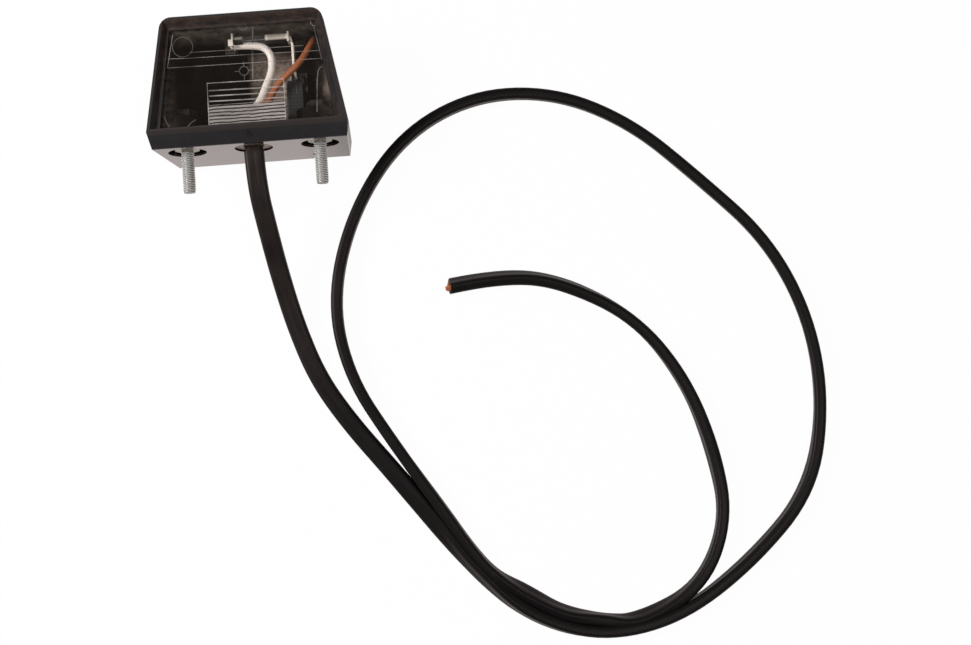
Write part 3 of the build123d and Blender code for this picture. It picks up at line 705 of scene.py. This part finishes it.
def clearLens():
    # clear, with dust along its far and side borders, and stray light among the fine ribs
    shade = Shade("clearLens")
    place = shade.place()
    x, y, z = shade.axes(place)
    gloss = shade.gloss(0.034)
    haze = shade.noise(place, 0.12, 5.0, 0.65).ramp(0.45, 0.85) * 0.006
    border = y.ramp(40, 47.5).largest(x.size().ramp(27.5, 32) * 0.45)
    dusty = border * shade.noise(place, 0.4, 6.0, 0.72, (0.5, 1.0, 1.0)).ramp(0.36, 0.72) * 0.21
    inRibs = x.size().under(ribZone["half"]) * y.between(ribZone["near"], ribZone["far"])
    wavy = y + shade.noise(place, 0.12, 2.0) * 0.9 + shade.noise(place, 0.5, 3.0) * 0.4
    lines = (wavy * 4.6).wave().ramp(-0.8, 0.2)
    gleams = shade.noise(place, 1.0, 2.0, 0.5, (0.12, 1.4, 0.4)).ramp(0.3, 0.7, (0.55, 1.0))
    lit = lines * gleams * x.ramp(-14, 8, (0.85, 1.0))
    filled = (0.3 + lit * 0.6).largest(y.under(ribZone["solid"]) * 0.82)
    cover = (gloss * 0.45 + haze + dusty).largest(inRibs * filled)
    ribs = shade.mix(lit, (0.02, 0.017, 0.017), (0.56, 0.5, 0.47))
    base = shade.mix(inRibs, (0.3, 0.24, 0.2), ribs)
    normal = shade.bump(shade.noise(place, 0.6, 2.0), 0.00002, 0.3)
    skinned = shade.surface(Base_Color=base, Roughness=0.12, Normal=normal)
    return shade.blend(cover, shade.seeThrough((1.0, 0.995, 0.99)), skinned)


def clearRelief(name, share):
    # a moulded line in clear plastic, which catches the light along parts of its length
    shade = Shade(name)
    place = shade.place()
    caught = shade.noise(place, 0.12, 2.0, 0.5).ramp(0.35, 0.65, (share * 0.3, share))
    lit = shade.surface(Base_Color=(0.75, 0.72, 0.7), Roughness=0.6)
    return shade.blend(caught, shade.seeThrough((1.0, 1.0, 1.0)), lit)


def bulbSkin():
    # thin glass with a little smoke in it
    shade = Shade("bulbGlass")
    place = shade.place()
    smoke = shade.noise(place, 0.4, 3.0).ramp(0.4, 0.8) * 0.03
    glossy = shade.surface(Base_Color=(0.6, 0.6, 0.6), Roughness=0.05)
    return shade.blend(shade.gloss(0.04) * 0.6 + smoke, shade.seeThrough((0.96, 0.96, 0.95)), glossy)


def contactMetal():
    # bright where the strips stand up to the bulb; below and inside the carrier dull, and dark with painted
    # shade and tarnish
    shade = Shade("contactMetal")
    place = shade.place()
    x, y, z = shade.axes(place)
    cloudy = shade.noise(place, 0.5, 4.0)
    fine = shade.noise(place, 3.0, 3.0)
    bright = z.ramp(22.5, 24.5) * y.ramp(28.4, 29.4)
    strip = shade.mix(cloudy.ramp(0.4, 0.8) * 0.3, (1.0, 0.9, 0.81), (0.66, 0.55, 0.46))
    # the dark below and inside the carrier is painted shade, with tarnish
    base = shade.mix(bright, (0.05, 0.042, 0.035), strip)
    rough = 0.34 + fine * 0.12 + (1 - bright) * 0.2
    normal = shade.bump(fine, 0.00002, 0.4)
    return shade.whole(Base_Color=base, Roughness=rough, Metallic=0.15, Normal=normal)


def capMetal():
    # painted light and shade: the right sleeve is lit along its far side, with painted highlights at its
    # ends, and painted shade nearer; the left cap has only a painted glint there
    shade = Shade("bulbCap")
    place = shade.place()
    x, y, z = shade.axes(place)
    middle = 3  # the x that parts the two caps
    cloudy = shade.noise(place, 0.6, 3.0)
    # the lit far side of the right sleeve; the near side is painted shade
    pale = x.over(middle) * y.ramp(44.1, 44.6)
    # painted highlights at the sleeve's ends
    ends = x.over(15.6).largest(x.between(7.5, 8.3))
    sleeve = shade.mix(ends, (0.62, 0.56, 0.48), (0.9, 0.86, 0.78))
    # a painted glint along the left cap's far side
    glint = x.under(middle) * y.ramp(45.1, 45.6) * 0.85
    base = shade.mix(pale, (0.012, 0.01, 0.009), sleeve)
    base = shade.mix(glint, base, (0.56, 0.52, 0.44))
    return shade.whole(Base_Color=base, Roughness=0.36 + cloudy * 0.12, Metallic=0.15)


stud = {
    "places": (-27, 27), "tip": -16.5, "end": 1.0,  # x of both, and y of the thread's two ends
    "width": 5.3, "pitch": 0.95, "depth": 0.46, "bare": 0.7,  # the pitches without a ridge at each end
}


def zincPlate():
    # paler on the thread's crests than in its grooves, which are darkened as painted shade with dirt
    shade = Shade("zincPlate")
    place = shade.place()
    x, y, z = shade.axes(place)
    cloudy = shade.noise(place, 0.4, 3.0)
    aside = x.size() - stud["places"][1]
    above = z - axisZ
    away = (aside * aside + above * above) ** 0.5
    crest = away.ramp(stud["width"] / 2 - stud["depth"] * 0.75, stud["width"] / 2 - stud["depth"] * 0.2)
    plated = shade.mix(cloudy.ramp(0.4, 0.8) * 0.4, (0.7, 0.69, 0.67), (0.5, 0.49, 0.47))
    base = shade.mix(crest, (0.3, 0.295, 0.28), plated)
    return shade.whole(Base_Color=base, Roughness=0.42 + cloudy * 0.08, Metallic=0.4)


baseBlack = blackBase()
hoodBlack = hoodSkin()
zinc = zincPlate()
darkSteel = metal("darkSteel", (0.009, 0.0085, 0.009), 0.6, 0.5, (0.02, 0.014, 0.01), 0.3)
contacts = contactMetal()
finishes = {
    "lens": clearLens(),
    "cover_seal": rubber("sealRubber", (0.012, 0.0115, 0.012), 0.5, 0.3),
    "stud_washers": plastic("creamNylon", (0.68, 0.6, 0.5), 0.42, 0.3, subsurface=0.1),
    "stud_plates": metal("plateSteel", (0.35, 0.34, 0.33), 0.4, 0.4),
    "cable_entry": cableSkin,
    "cable_clamp": plastic("greyPlastic", (0.027, 0.0275, 0.032), 0.5, 0.2),
    "clamp_screws": darkSteel,
    "bulb_carrier": carrierPlastic(),
    "carrier_screw": darkSteel,
    "left_contact": contacts,
    "ring_terminal": contacts,
    "contact_rivets": metal("brassRivet", (0.16, 0.12, 0.07), 0.45, 0.5),
    "bulb_glass": bulbSkin(),
    "bulb_caps": capMetal(),
    "bulb_filament": metal("filament", (0.4, 0.4, 0.42), 0.4, 0.1),
}
for name, finish in finishes.items():
    nodes[name].data.materials.clear()
    nodes[name].data.materials.append(finish)
print("finishes")


# housing and hood, with their edges rounded a little
housing = piece("housingShell", softened("base_housing"), baseBlack, "base", False)
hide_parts("base_housing")
hood = piece("hoodShell", softened("hood_frame"), hoodBlack, "cover", False)
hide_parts("hood_frame")
print("housing and hood")


# the strip that stands from the carrier to the bulb, over the CAD's own contact
standing = {
    "points": [
        (17.2, 45.5, 28.3), (17.7, 43.6, 28.3), (18.0, 42.4, 28.2),
        (17.9, 35.1, 27.4), (18.2, 29.8, 25.6), (18.5, 28.7, 23.6),
    ],
    "halfWidth": 0.45, "halfThickness": 0.2,
}


def wideStrip():
    places = [at(*p) for p in standing["points"]]
    rings = []
    for place, ahead in zip(places, directions(places)):
        across, through = crossAxes(ahead)
        ring = []
        for a, b in ((1, 1), (-1, 1), (-1, -1), (1, -1)):
            away = across * a * standing["halfWidth"] + through * b * standing["halfThickness"]
            ring.append(place + away * mm)
        rings.append(ring)
    body = mergedCopy("right_contact")
    body.from_mesh(skin(rings))
    return meshOf("rightStrip", body)


strip = piece("rightStrip", wideStrip(), contacts, "base")
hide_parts("right_contact")
for node, slot in (("bulb_glass", "bulb_glass"), ("bulb_caps", "bulb_cap")):
    smooth = piece(node + "Smooth", softened(node), finishes[node], "base")
    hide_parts(node)
print("strip and bulb")


# the rubber collar that grips the sheath where it leaves the face, and the pad round it in the recess,
# painted pale brown as light on the recess floor
collar = {"grip": 0.22, "front": 0.6, "back": 4.9, "edge": 0.2, "square": 0.62, "sides": 40}
pad = {"profile": ((0.99, 7.66), (0.92, 7.66), (0.86, 7.6)), "sides": 64}  # its y and radius, inside first


def collarMesh():
    rings = []
    wide, tall = cable["width"] / 2 + collar["grip"], cable["thickness"] / 2 + collar["grip"]
    front, edge = collar["front"], collar["edge"]
    for y, grow in ((collar["back"], 0), (front + edge, 0), (front, -edge)):
        ring = []
        for step in range(collar["sides"]):
            # the power makes a rounded box of the oval
            angle = 2 * math.pi * step / collar["sides"]
            x = math.copysign(abs(math.cos(angle)) ** collar["square"], math.cos(angle)) * (wide + grow)
            z = math.copysign(abs(math.sin(angle)) ** collar["square"], math.sin(angle)) * (tall + grow)
            ring.append(at(x, y, axisZ + z))
        rings.append(ring)
    return skin(rings)


def entryPad():
    rings = []
    for y, radius in pad["profile"]:
        angles = [2 * math.pi * step / pad["sides"] for step in range(pad["sides"])]
        rings.append([at(radius * math.cos(a), y, axisZ + radius * math.sin(a)) for a in angles])
    return skin(rings)


collarSkin = rubber("collarRubber", (0.02, 0.015, 0.0125), 0.5, 0.5)
collarPiece = piece("cableCollar", collarMesh(), collarSkin, "base")
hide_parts("cable_grommet")
# the pad's pale brown is painted light on the recess floor
piece("entryPad", entryPad(), plastic("padPaintedLight", (0.36, 0.27, 0.22), 0.5, 0.25), "base")
print("collar and pad")


class Tree:
    # a Geometry Nodes tree with named inputs for its sizes
    def __init__(self, name, sizes):
        self.tree = bpy.data.node_groups.new(name, "GeometryNodeTree")
        self.sizes = sizes
        for size in sizes:
            self.tree.interface.new_socket(size, in_out="INPUT", socket_type="NodeSocketFloat")
        self.tree.interface.new_socket("Mesh", in_out="OUTPUT", socket_type="NodeSocketGeometry")
        self.inputs = self.tree.nodes.new("NodeGroupInput")
        self.outputs = self.tree.nodes.new("NodeGroupOutput")

    def size(self, name):
        return self.inputs.outputs[name]

    def add(self, kind, settings=None, sockets=None):
        # makes a node and gives its first output; a list links several sockets to one
        node = self.tree.nodes.new(kind)
        for name, value in (settings or {}).items():
            setattr(node, name, value)
        for key, value in (sockets or {}).items():
            if isinstance(value, bpy.types.NodeSocket):
                self.tree.links.new(value, node.inputs[key])
            elif isinstance(value, list):
                for each in value:
                    self.tree.links.new(each, node.inputs[key])
            else:
                node.inputs[key].default_value = value
        return node.outputs[0]

    def sum(self, operation, first, second):
        return self.add("ShaderNodeMath", {"operation": operation}, {0: first, 1: second})

    def vector(self, sizes):
        # from sizes for 0, 1 and 2, which are x, y and z
        return self.add("ShaderNodeCombineXYZ", sockets=sizes)

    def moved(self, geometry, offset):
        return self.add("GeometryNodeTransform", sockets={0: geometry, "Translation": offset})

    def row(self, thing, count, offset, rotation=(0, 0, 0)):
        points = self.add("GeometryNodeMeshLine", sockets={"Count": count, "Offset": offset})
        sockets = {0: points, "Instance": thing, "Rotation": rotation}
        return self.add("GeometryNodeInstanceOnPoints", sockets=sockets)

    def mesh(self, geometry, material):
        real = self.add("GeometryNodeRealizeInstances", sockets={0: geometry})
        done = self.add("GeometryNodeSetMaterial", sockets={0: real, "Material": material})
        self.tree.links.new(done, self.outputs.inputs[0])
        holder = bpy.data.objects.new(self.tree.name, bpy.data.meshes.new(self.tree.name))
        bpy.context.scene.collection.objects.link(holder)
        modifier = holder.modifiers.new("nodes", "NODES")
        modifier.node_group = self.tree
        for item in self.tree.interface.items_tree:
            if item.in_out == "INPUT":
                modifier[item.identifier] = float(self.sizes[item.name])
        return baked(holder)


def threadedStuds():
    # a ridge that follows a helix round a shank, which stands at both places along the face
    groove = stud["depth"] * mm
    tree = Tree("studThreads", {
        "Radius": stud["width"] / 2 * mm - groove, "Pitch": stud["pitch"] * mm,
        "Length": (stud["end"] - stud["tip"]) * mm, "Depth": groove,
        "Spacing": (stud["places"][1] - stud["places"][0]) * mm,
    })
    radius, pitch, length, depth = (tree.size(name) for name in ("Radius", "Pitch", "Length", "Depth"))
    turning = tree.sum("SUBTRACT", length, tree.sum("MULTIPLY", pitch, stud["bare"] * 2))
    helix = tree.add("GeometryNodeCurveSpiral", sockets={
        "Resolution": 24, "Rotations": tree.sum("DIVIDE", turning, pitch), "Start Radius": radius,
        "End Radius": radius, "Height": turning})
    upright = tree.add("GeometryNodeSetCurveNormal", {"mode": "Z_UP"}, {0: helix})
    profile = tree.add("GeometryNodeCurvePrimitiveCircle", sockets={"Resolution": 4, "Radius": depth})
    ridge = tree.add("GeometryNodeCurveToMesh", sockets={0: upright, 1: profile, "Fill Caps": True})
    raised = tree.moved(ridge, tree.vector({2: tree.sum("MULTIPLY", pitch, stud["bare"])}))
    root = tree.sum("ADD", radius, tree.sum("MULTIPLY", depth, 0.2))
    core = tree.add("GeometryNodeMeshCylinder", sockets={"Vertices": 32, "Radius": root, "Depth": length})
    shank = tree.moved(core, tree.vector({2: tree.sum("MULTIPLY", length, 0.5)}))
    one = tree.add("GeometryNodeJoinGeometry", sockets={0: [raised, shank]})
    outOfFace = (math.radians(-90), 0, 0)
    mesh = tree.mesh(tree.row(one, 2, tree.vector({0: tree.size("Spacing")}), outOfFace), zinc)
    mesh.transform(Matrix.Translation(at(stud["places"][0], stud["tip"], axisZ)))
    return mesh


def studHeads():
    # the rest of each bolt: its neck and head, behind the washer's front
    body = mergedCopy("stud_bolts")
    limit = at(0, stud["end"] + 0.01, 0).y
    gone = [f for f in body.faces if f.calc_center_median().y < limit]
    bmesh.ops.delete(body, geom=gone, context="FACES")
    bmesh.ops.holes_fill(body, edges=[e for e in body.edges if e.is_boundary], sides=0)
    bmesh.ops.recalc_face_normals(body, faces=body.faces)
    return meshOf("studHeads", body)


threads = piece("studThreads", threadedStuds(), None, "base")
heads = piece("studHeads", studHeads(), darkSteel, "base")
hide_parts("stud_bolts")
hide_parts("stud_bolts")
print("studs")


# the two inner wires, from the end of the sheath to the contacts
whiteWire = {
    "points": [
        (-1.5, 13.5, 29.45), (0.8, 15.8, 29.4), (3.9, 19.9, 28.2), (6.0, 25.9, 26.7),
        (8.1, 30.4, 26.0), (9.0, 34.6, 25.6), (8.8, 39.4, 25.8), (6.0, 42.7, 26.2),
        (1.5, 43.3, 26.7), (-2.4, 43.4, 27.1), (-7.2, 43.9, 27.1),
    ],
    "radius": 1.56, "colour": (1.0, 0.89, 0.82),
}
brownWire = {
    "points": [
        (2.2, 13.5, 29.55), (3.8, 15.6, 29.4), (7.5, 19.6, 28.1), (9.0, 23.2, 27.2),
        (11.5, 26.8, 27.2), (15.7, 30.1, 28.1), (19.4, 33.1, 28.5), (22.2, 36.7, 27.5),
        (24.7, 41.5, 25.6), (26.6, 45.1, 23.8), (26.8, 45.6, 20.8),
    ],
    "radius": 1.36, "colour": (0.4, 0.12, 0.045),
}


def wireSkin(name, colour):
    # smooth insulation with a faint change of tone along it
    shade = Shade(name)
    place = shade.place()
    cloudy = shade.noise(place, 0.2, 3.0)
    base = shade.mix(cloudy, tuple(c * 0.9 for c in colour), colour)
    return shade.whole(Base_Color=base, Roughness=0.42 + cloudy * 0.1, Subsurface_Weight=0.02)


def innerWire(name, wire, replaced):
    places = line(name + "Line", [at(*p) for p in wire["points"]])
    tube = roundTube(places, wire["radius"] * mm, 20)
    made = piece(name, tube, wireSkin(name + "Skin", wire["colour"]), "base")
    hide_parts(replaced)


innerWire("whiteWire", whiteWire, "white_wire")
innerWire("brownWire", brownWire, "brown_wire")
print("inner wires")


teeth = {"size": (0.8, 0.42, 0.5), "pitch": 1.02, "count": 15, "first": (14.2, 13.4, 22.95)}


def carrierTeeth():
    # a row of small teeth along the carrier's edge, paler than the carrier as painted highlights
    tree = Tree("carrierTeeth", {"Pitch": teeth["pitch"] * mm, "Count": teeth["count"]})
    tooth = tree.add("GeometryNodeMeshCube", sockets={"Size": tuple(s * mm for s in teeth["size"])})
    row = tree.row(tooth, tree.size("Count"), tree.vector({1: tree.size("Pitch")}))
    mesh = tree.mesh(row, plastic("toothHighlight", (0.12, 0.11, 0.11), 0.45, 0.4))
    mesh.transform(Matrix.Translation(at(*teeth["first"])))
    return mesh


piece("carrierTeeth", carrierTeeth(), None, "base", False)
print("carrier teeth")


# moulded lines in the lens, a little proud of its face
relief = {"face": 41.0, "sunk": 0.02, "proud": 0.12}


def ribbon(points, width, closed):
    # rings for a low ridge with a soft top that follows points on the lens
    rings = []
    places = [at(x, y, relief["face"] - relief["sunk"]) for x, y in points]
    for i, place in enumerate(places):
        before = places[i - 1] if i or closed else place
        after = places[(i + 1) % len(places)] if i + 1 < len(places) or closed else place
        ahead = (after - before).normalized()
        aside = Vector((ahead.y, -ahead.x, 0))
        ring = []
        for s, t in ((-0.5, 0), (0.5, 0), (0.32, 0.8), (0, 1.0), (-0.32, 0.8)):
            ring.append(place + (aside * s * width + Vector((0, 0, t * relief["proud"]))) * mm)
        rings.append(ring)
    if closed:
        rings.append(rings[0])
    return rings


def ridges(name, share, width, loops=(), lines=()):
    # one piece of ridges: loops run round and join up, lines have two ends
    whole = bmesh.new()
    for closed, rows in ((True, loops), (False, lines)):
        for points in rows:
            mesh = skin(ribbon(points, width, closed), caps=not closed)
            whole.from_mesh(mesh)
            bpy.data.meshes.remove(mesh)
    bmesh.ops.remove_doubles(whole, verts=whole.verts, dist=sameSpot / 10)
    bmesh.ops.recalc_face_normals(whole, faces=whole.faces)
    piece(name, meshOf(name, whole), clearRelief(name + "Finish", share), "cover")


def arc(x, y, radius, start=0, stop=360, steps=36):
    # points along an arc; a full turn doesn't repeat its first
    count = steps if stop - start == 360 else steps + 1
    angles = [math.radians(start + (stop - start) * i / steps) for i in range(count)]
    return [(x + radius * math.cos(a), y + radius * math.sin(a)) for a in angles]


cross = {"middle": (-0.3, 28.9), "ring": 1.8, "arms": (1.9, 2.8, 3.7)}
armPoints = [arc(*cross["middle"], radius, steps=4) for radius in cross["arms"]]
lensLines = {
    "bandLines": {"share": 0.24, "width": 0.22, "lines": [
        [(-21.5, 38.0), (-5.6, 37.8), (9.8, 37.6), (24.0, 37.5)],
        [(-30.4, 36.0), (-23.7, 35.7), (6.5, 35.35), (30.2, 35.0)],
        [(-30.9, 32.3), (6.3, 31.95), (30.9, 31.7)],
    ]},
    "edgeLines": {"share": 0.26, "width": 0.26, "lines": [
        [(-27.9, 45.6), (-29.4, 38.7), (-30.8, 32.2)],
        [(27.5, 47.2), (27.7, 46.2), (28.3, 45.4), (29.3, 45.2)],
        [(28.7, 44.8), (30.1, 37.1), (31.1, 31.0)],
        [(31.0, 28.4), (29.9, 27.8), (29.3, 26.7), (28.7, 23.0), (28.2, 16.0), (27.8, 10.0)],
    ]},
    "crossMark": {
        "share": 0.075, "width": 0.4, "loops": [arc(*cross["middle"], cross["ring"])],
        "lines": [list(arm) for arm in zip(*armPoints)],
    },
    "ringMark": {"share": 0.08, "width": 0.34, "loops": [arc(-24.2, 40.4, 4.05)]},
    "smallMarks": {"share": 0.14, "width": 0.34, "lines": [arc(0.4, 47.3, 1.75, 195, 345, 14)]},
    "mouldLine": {"share": 0.09, "width": 0.6, "lines": [[(4.3, 46.6), (3.4, 34.0), (3.1, 25.4)]]},
    "prismFrame": {"share": 0.45, "width": 0.45, "lines": [
        [(-15.4, 7.8), (-15.3, 24.9), (15.3, 24.5), (15.2, 7.6)],
    ]},
    "chips": {"share": 0.09, "width": 0.4, "lines": [
        [(-33.0, 12.6), (-32.4, 10.4), (-31.2, 8.4)],
        [(-23.9, 7.9), (-22.6, 9.3), (-20.6, 10.5)],
    ]},
}
for name, shape in lensLines.items():
    ridges(name, **shape)


# ribs across the prism, the block on the lens's inner side; under is the height of its lowest face
prism = {"width": 30.9, "depth": 0.3, "under": 37.42, "lowered": 0.12}
ribRows = {
    "coarseRibs": {"count": 3, "first": 18.2, "pitch": 2.2, "thick": 0.45, "share": 0.42, "tilt": -0.9},
    "fineRibs": {"count": 6, "first": 8.6, "pitch": 1.36, "thick": 0.5, "share": 0.5, "tilt": -0.8},
}


def prismRibs(name, count, first, pitch, thick, share, tilt):
    sizes = {"Width": prism["width"] * mm, "Thickness": thick * mm, "Pitch": pitch * mm, "Count": count}
    tree = Tree(name, sizes)
    bar = tree.vector({0: tree.size("Width"), 1: tree.size("Thickness"), 2: prism["depth"] * mm})
    rib = tree.add("GeometryNodeMeshCube", sockets={"Size": bar, "Vertices X": 12})
    offset = tree.vector({1: tree.size("Pitch")})
    row = tree.row(rib, tree.size("Count"), offset, (0, 0, math.radians(tilt)))
    mesh = tree.mesh(row, clearRelief(name + "Finish", share))
    mesh.transform(Matrix.Translation(at(0, first, prism["under"] - prism["lowered"])))
    piece(name, mesh, None, "cover")


for name, ribs in ribRows.items():
    prismRibs(name, **ribs)
print("lens relief")
